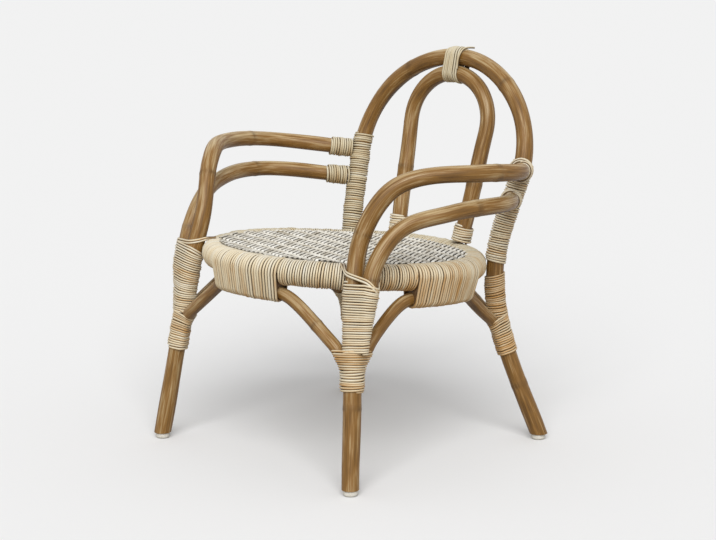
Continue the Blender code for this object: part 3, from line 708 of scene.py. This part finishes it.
# uprights and arm ends
upright = dict(width=0.0033, reach=(0.2, 0.44), low=0.256, high=dict(right=0.394, left=0.406),
               tones=dict(right=0.46, left=0.42))
sideFinishes = dict(right=caneFinish, left=greyedFinish)
armEnd = dict(width=0.0034, length=0.034, past=0.0035, tones=dict(right=0.44, left=0.40),
              over=dict(right_arm=0.0062, left_arm=0.0004, right_lower_arm=0.0010, left_lower_arm=0.0004))
armEnds = {"arm": (armRoute, arm["tip"]), "lower_arm": (lowRoute, lowArm["pole"])}
for side, sign in sideSigns.items():
    seed = int(sign < 0)
    own = between(mirrored(hoopHalf, sign), *upright["reach"])
    low, high = atHeight(own, upright["low"]), atHeight(own, upright["high"][side])
    windRound(side + "UprightWrap", [side + "_upright_wrap"], [(own, hoop["pole"])], low, high, outward(low),
              upright["width"], seeds["upright"] + seed, upright["tones"][side], finish=sideFinishes[side])
    for k, (part, (route, diameter)) in enumerate(armEnds.items()):
        place = f"{side}_{part}"
        own = mirrored(route, sign)[-armSteps:]
        way = unit(own[-1] - own[-2])
        tip = own[-1] + way * armEnd["past"]
        own = np.vstack((own, tip + way * armEnd["past"]))
        over = armEnd["over"][place]
        ending = (tip - way * armEnd["length"], tip, up, armEnd["width"])
        windRound(camel(place, "EndWrap"), [place + "_end_wrap"], [(own, diameter + over)], *ending,
                  seeds["armEnd"] + 4 * seed + k, armEnd["tones"][side], finish=sideFinishes[side])
        if over > armEnd["width"]:  # a first layer fills the room under the outer one
            windRound(camel(place, "EndPacking"), [], [(own, diameter)], *ending, seeds["endPacking"] + k,
                      armEnd["tones"][side])

# foot of the inner hoop, and the binding at the top of both hoops
innerBase = dict(width=0.0036, reach=(0.2, 0.34), low=0.2722, high=0.2955, tilt=0.0016)
for side, sign in sideSigns.items():
    own = between(mirrored(innerHalf, sign), *innerBase["reach"])
    own = np.vstack((2 * own[0] - own[1], own))  # the winding reaches a little below the pole's cut end
    low, high = atHeight(own, innerBase["low"]), atHeight(own, innerBase["high"])
    windRound(side + "InnerHoopWrap", [side + "_inner_hoop_wrap"], [(own, innerHoop["pole"])], low, high,
              outward(low), innerBase["width"], seeds["innerBase"] + (sign < 0), tilt=innerBase["tilt"])

topBind = dict(width=0.0035, span=0.0285, tilt=0.0013, near=0.05, over=0.45)
middleHoop, middleInner = (route[(np.abs(route[:, 0]) < topBind["near"]) & (route[:, 2] > topBind["over"])]
                           for route in (hoopRoute, innerRoute))
half = np.array((topBind["span"] / 2, 0, 0))
windRound("topBinding", ["top_binding"], [(middleHoop, hoop["pole"]), (middleInner, innerHoop["pole"])],
          half, -half, up, topBind["width"], seeds["topBind"], tilt=topBind["tilt"], finish=greyedFinish)
print("bindings wound")

# single strands that lash the front legs to the ring, whose ends there are an angle, a radius and a height
lashing = dict(width=0.0030, apart=0.0034, fan=1.2, perStop=12, step=0.002, rounding=6, facingHeight=0.27,
               rings=dict(front_right=(-45.5, 0.188, 0.0177), front_left=(225.5, 0.181, 0.0197)))
lashRoutes = {  # degrees round the leg from its outer side, and heights
    "front_right": [[(-75, 0.2845), (-20, 0.2765), (20, 0.2690), (55, 0.2620), (80, 0.2597), (100, 0.2630),
                     (118, 0.2715)]],
    "front_left": [[(150, 0.2885), (90, 0.2860), (40, 0.2840), (0, 0.2825), (-50, 0.2790), (-95, 0.2720)],
                   [(-5, 0.2800), (30, 0.2790), (70, 0.2760), (115, 0.2705), (150, 0.2655), (185, 0.2625)]],
}


def lashStrand(name, leg, stops, anchor, shift, seed):
    own = legPoles[leg][0][0]
    side = unit(outward(atHeight(own, lashing["facingHeight"])))
    axes = np.array((side, np.cross(up, side), up))
    degrees, heights = np.array(stops).T
    numbers = np.arange(len(stops))
    steps = np.linspace(0, len(stops) - 1, lashing["perStop"] * len(stops))
    angle = np.radians(np.interp(steps, numbers, degrees))
    level = np.interp(steps, numbers, heights) + shift
    lift = lashing["width"] * strandLook["squash"] / 2
    flat, _ = tightLoop(poleCircles(legPoles[leg], axes, level, lift), angle)
    reached = distanceAlong(flat)  # the strand climbs evenly with its length, not with its angle
    level = np.interp(reached, np.interp(numbers, steps, reached), heights) + shift
    path = np.column_stack((flat, level)) @ axes
    if anchor is not None:
        path = np.vstack((anchor, path))
    path = eased(evenSteps(path, lashing["step"]), lashing["rounding"])
    middle = np.array([atHeight(own, z) for z in path[:, 2]])
    normals = (path - middle) * (1, 1, 0) + up * 1e-4  # never quite level, so that none is zero
    return caneStrand(name, [], path, normals, lashing["width"], np.linspace(0, 1, len(path)), seed)


for leg, routes in lashRoutes.items():
    degrees, reach, lift = lashing["rings"][leg]
    for k, stops in enumerate(routes):
        for n, shift in enumerate((-0.5, 0.5)):
            anchor = onSeat(polar(reach, degrees + lashing["fan"] * shift, lift)) if k == 0 else None
            lashStrand(camel(leg, f"Lash{2 * k + n + 1}"), leg, stops, anchor, shift * lashing["apart"],
                       seeds["lash"] + 10 * k + n + (leg == "front_left") * 4)

# loose end of the top binding: stops are distances aside, to the front and up from the top of the hoop
tailEnd = dict(width=0.0032, steps=8, front=(0, -0.9641, 0.2656), rise=(0, 0.2656, 0.9641),
               stops=((0.0146, 0.0136, -0.020), (0.0150, 0.0142, 0.0), (0.0172, 0.0098, 0.0102),
                      (0.0222, 0.0, 0.0146), (0.0262, -0.0032, 0.0152)))
front, rise = np.array(tailEnd["front"]), np.array(tailEnd["rise"])
tailPath = hoopArch[-1] + [np.array((x, 0, 0)) + front * f + rise * r for x, f, r in tailEnd["stops"]]
tailPath = through(tailPath, tailEnd["steps"])
tailOut = tailPath - hoopArch[-1] - np.outer(tailPath[:, 0], (1, 0, 0))
caneStrand("topBindingTail", [], tailPath, tailOut, tailEnd["width"], np.linspace(0, 1, len(tailPath)),
           seeds["topTail"], finish=greyedFinish)
print("lashings tied")

# woven seat: strands of one direction go over four and under two, and the edges follow the ring
seatWeave = dict(pitch=0.0075, phase=0.25, repeat=6, under=0.43, steep=2.5, turned=30.0,
                 widths=(0.0060, 0.0050), widthSpread=0.08, thickness=0.0031, rise=0.0021, height=0.0152,
                 reach=0.1745, sag=0.0006, edge=0.030, edgeTops=((0.0085, 0.0140), (0.0120, 0.0166)),
                 shortest=0.02, perCross=4, sides=8, waver=0.0003, waverLength=12, rowShift=0.0002,
                 tones=(0.46, 0.78), toneSpread=0.16, toneWaver=0.12, toneLength=8, grainShift=0.61,
                 dip=0.95, flank=0.6, edgeShade=0.75, groove=0.92)
weaveTurn = np.array(polar(1, (seatWeave["turned"], seatWeave["turned"] + 90), 0))


def weaveStrands(name, nodes, direction, seed):
    rng = np.random.default_rng(seed)
    pitch, phase, repeat, reach, sides = (seatWeave[key] for key in
                                          ("pitch", "phase", "repeat", "reach", "sides"))
    backTop, frontTop = seatWeave["edgeTops"][direction]
    verts, faces, places, tones, shades = [], [], [], [], []
    first = 0
    facing = np.cos(sectionAngles(sides))  # 1 on top of a strand, -1 underneath
    for row in range(-int(reach / pitch), int(reach / pitch) + 1):
        offset = (row + phase) * pitch
        half = math.sqrt(max(0.0, reach ** 2 - offset ** 2))
        if half < seatWeave["shortest"]:
            continue
        count = int(2 * half / pitch * seatWeave["perCross"]) + 2
        t = np.linspace(-half, half, count)
        wave = np.cos((t / pitch - phase + row) * 2 * math.pi / repeat - math.pi / repeat)
        wave = np.clip(seatWeave["steep"] * (wave - seatWeave["under"]), -1, 1) * (-1 if direction else 1)
        sideStep = seatWeave["waver"] * slowNoise(rng, count, seatWeave["waverLength"])
        sideStep = sideStep + rng.normal(0, seatWeave["rowShift"])
        away = np.hypot(t, offset)
        climb = np.clip((away - reach + seatWeave["edge"]) / seatWeave["edge"], 0, 1) ** 2
        level = seatWeave["height"] - seatWeave["sag"] * (1 - (away / reach) ** 2)
        spots = (t, offset + sideStep) if direction == 0 else (offset + sideStep, t)
        path = np.column_stack(spots) @ weaveTurn
        edgeTop = backTop + (frontTop - backTop) * np.clip(0.5 - path[:, 1] / reach, 0, 1)
        level = level + (edgeTop - level) * climb + wave * seatWeave["rise"]
        path = path + up * level[:, None]
        wide = seatWeave["widths"][direction] / 2 * (1 + seatWeave["widthSpread"] * rng.uniform(-1, 1))
        part, place, _ = tube(onSeat(path), np.broadcast_to(seatAxes[2], path.shape),
                              seatWeave["thickness"] / 2, wide, sides)
        verts.append(part)
        places.append(place + (0, 0, row * seatWeave["grainShift"] + seed))
        tone = seatWeave["tones"][direction] + rng.normal(0, seatWeave["toneSpread"])
        tone = tone + seatWeave["toneWaver"] * slowNoise(rng, count, seatWeave["toneLength"])
        tones.append(np.repeat(np.clip(tone, 0, 1), sides))
        # painted shade on the flanks of the strands, where they dip under crossing strands, and near the ring
        paintedShadeMask = np.where(facing > 0, -wave[:, None], wave[:, None])  # what lies under the crossing strands
        low = np.clip(1 - np.abs(facing) / seatWeave["flank"], 0, 1)
        low = seatWeave["dip"] * np.clip(paintedShadeMask, 0, 1) + low
        if direction == 0:  # in the shade of the ring
            low = low + seatWeave["edgeShade"] * climb[:, None]
        shades.append(seatWeave["groove"] * np.clip(low, 0, 1).ravel())
        faces += tubeFaces(count, sides, first)
        first += len(part)
    return makePiece(name, np.vstack(verts), faces, weaveFinish, "woven_cane", nodes,
                     grainPlace=np.vstack(places), tone=np.concatenate(tones), shade=np.concatenate(shades))


weaveStrands("seatWeaveAcross", ["seat_panel"], 0, seeds["weaveAcross"])
weaveStrands("seatWeaveDeep", [], 1, seeds["weaveDeep"])
print("seat woven")

# glides: turned plastic discs
glide = dict(height=0.008, profile=((0.0068, 0.0), (0.0086, 0.0005), (0.0096, 0.0016), (0.0100, 0.0030),
                                    (0.0100, 0.0062), (0.0096, 0.0074), (0.0088, 0.0080)),
             sides=40, colour=linear(226, 222, 212), scuff=linear(186, 178, 162),
             spots={"Scale": 420.0, "Detail": 5.0, "Roughness": 0.7},
             scuffed={"From Min": 0.5, "From Max": 0.75}, rough={"To Min": 0.38, "To Max": 0.62},
             bump={"Strength": 0.1, "Distance": 0.0003})


def glideMaterial():
    made = bpy.data.materials.new("glidePlastic")
    made.use_nodes = True
    tree = made.node_tree
    shader = tree.nodes["Principled BSDF"]
    place = addNode(tree, "ShaderNodeTexCoord")
    spots = addNode(tree, "ShaderNodeTexNoise", [("Vector", place.outputs["Object"])], glide["spots"])
    mask = addNode(tree, "ShaderNodeMapRange", [("Value", spots.outputs["Fac"])], glide["scuffed"])
    colour = addNode(tree, "ShaderNodeMix", [(0, mask.outputs[0])], {6: glide["colour"], 7: glide["scuff"]},
                     data_type="RGBA")
    tree.links.new(colour.outputs[2], shader.inputs["Base Color"])
    rough = addNode(tree, "ShaderNodeMapRange", [("Value", spots.outputs["Fac"])], glide["rough"])
    tree.links.new(rough.outputs[0], shader.inputs["Roughness"])
    bump = addNode(tree, "ShaderNodeBump", [("Height", spots.outputs["Fac"])], glide["bump"])
    tree.links.new(bump.outputs[0], shader.inputs["Normal"])
    return made


glideFinish = glideMaterial()
for leg in legRoutes:
    low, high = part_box(leg + "_glide")
    centre = np.array(((low.x + high.x) / 2, (low.y + high.y) / 2, low.z)) - chairOffset
    n, rings = glide["sides"], len(glide["profile"])
    a = np.arange(n) * 360 / n
    verts = np.vstack([centre, *(centre + polar(r, a, z) for r, z in glide["profile"]),
                       centre + up * glide["height"]])
    faces = []
    for j in range(n):
        k = (j + 1) % n
        faces.append([0, 1 + k, 1 + j])
        for i in range(rings - 1):
            b = 1 + i * n
            faces.append([b + j, b + k, b + n + k, b + n + j])
        faces.append([1 + (rings - 1) * n + j, 1 + (rings - 1) * n + k, len(verts) - 1])
    makePiece(camel(leg, "Glide"), verts, faces, glideFinish, "glide_plastic", [leg + "_glide"])
print("glides made")


# floor, light and camera
def seenRays(tree):  # 1 where the camera sees a surface, also in a reflection or through something clear
    rays = addNode(tree, "ShaderNodeLightPath")
    glossy = addNode(tree, "ShaderNodeMath", [
        (0, rays.outputs["Is Camera Ray"]), (1, rays.outputs["Is Glossy Ray"])], operation="MAXIMUM")
    clear = addNode(tree, "ShaderNodeMath", [
        (0, glossy.outputs[0]), (1, rays.outputs["Is Transmission Ray"])], operation="MAXIMUM")
    return clear.outputs[0]


studio = dict(floorSize=60, floorColour=linear(242, 242, 242), floorBounce=linear(160, 158, 154),
              backdrop=linear(241, 241, 241), worldColour=(1.0, 1.0, 1.0, 1.0), worldLevel=0.52,
              keyLevel=2.4, keyFrom=(0.58, -0.62, 0.68), keySpread=math.radians(45.0))
bpy.ops.mesh.primitive_plane_add(size=studio["floorSize"], location=(0, 0, 0))
floor = bpy.context.object
floor.name = "floor"
floorFinish = bpy.data.materials.new("floorPaper")
floorFinish.use_nodes = True
tree = floorFinish.node_tree
floorShader = tree.nodes["Principled BSDF"]
paper = addNode(tree, "ShaderNodeMix", [(0, seenRays(tree))],
                {6: studio["floorBounce"], 7: studio["floorColour"]}, data_type="RGBA")
tree.links.new(paper.outputs[2], floorShader.inputs["Base Color"])
floorShader.inputs["Roughness"].default_value = 1.0
floorShader.inputs["Specular IOR Level"].default_value = 0.0
floor.data.materials.append(floorFinish)

world = bpy.data.worlds.new("studio")
bpy.context.scene.world = world
world.use_nodes = True
tree = world.node_tree
lightShader = tree.nodes["Background"]
lightShader.inputs["Color"].default_value = studio["worldColour"]
lightShader.inputs["Strength"].default_value = studio["worldLevel"]
seen = addNode(tree, "ShaderNodeBackground", values={"Color": studio["backdrop"]})
mixed = addNode(tree, "ShaderNodeMixShader", [
    (0, seenRays(tree)), (1, lightShader.outputs[0]), (2, seen.outputs[0])])
tree.links.new(mixed.outputs[0], tree.nodes["World Output"].inputs["Surface"])

keyData = bpy.data.lights.new("key", "SUN")
keyData.energy = studio["keyLevel"]
keyData.angle = studio["keySpread"]
key = bpy.data.objects.new("key", keyData)
bpy.context.scene.collection.objects.link(key)
key.rotation_mode = "QUATERNION"
key.rotation_quaternion = Vector(studio["keyFrom"]).to_track_quat("Z", "Y")

shot = dict(azimuth=math.radians(45.17), elevation=math.radians(11.17), distance=2.698, lens=96.87,
            sensor=36, farthest=100, aside=0.0191, height=0.2458)
a, e = shot["azimuth"], shot["elevation"]
toward = Vector((math.sin(a) * math.cos(e), -math.cos(a) * math.cos(e), math.sin(e)))
aim = Vector((math.cos(a), math.sin(a), 0)) * shot["aside"] + Vector((*chairOffset[:2], shot["height"]))
cameraData = bpy.data.cameras.new("camera")
cameraData.lens = shot["lens"]
cameraData.sensor_width = shot["sensor"]
cameraData.clip_end = shot["farthest"]
camera = bpy.data.objects.new("camera", cameraData)
bpy.context.scene.collection.objects.link(camera)
camera.location = aim + toward * shot["distance"]
camera.rotation_mode = "QUATERNION"
camera.rotation_quaternion = (-toward).to_track_quat("-Z", "Y")
bpy.context.scene.camera = camera
bpy.context.scene.view_settings.view_transform = "Standard"
print("studio set")

bpy.context.view_layer.update()
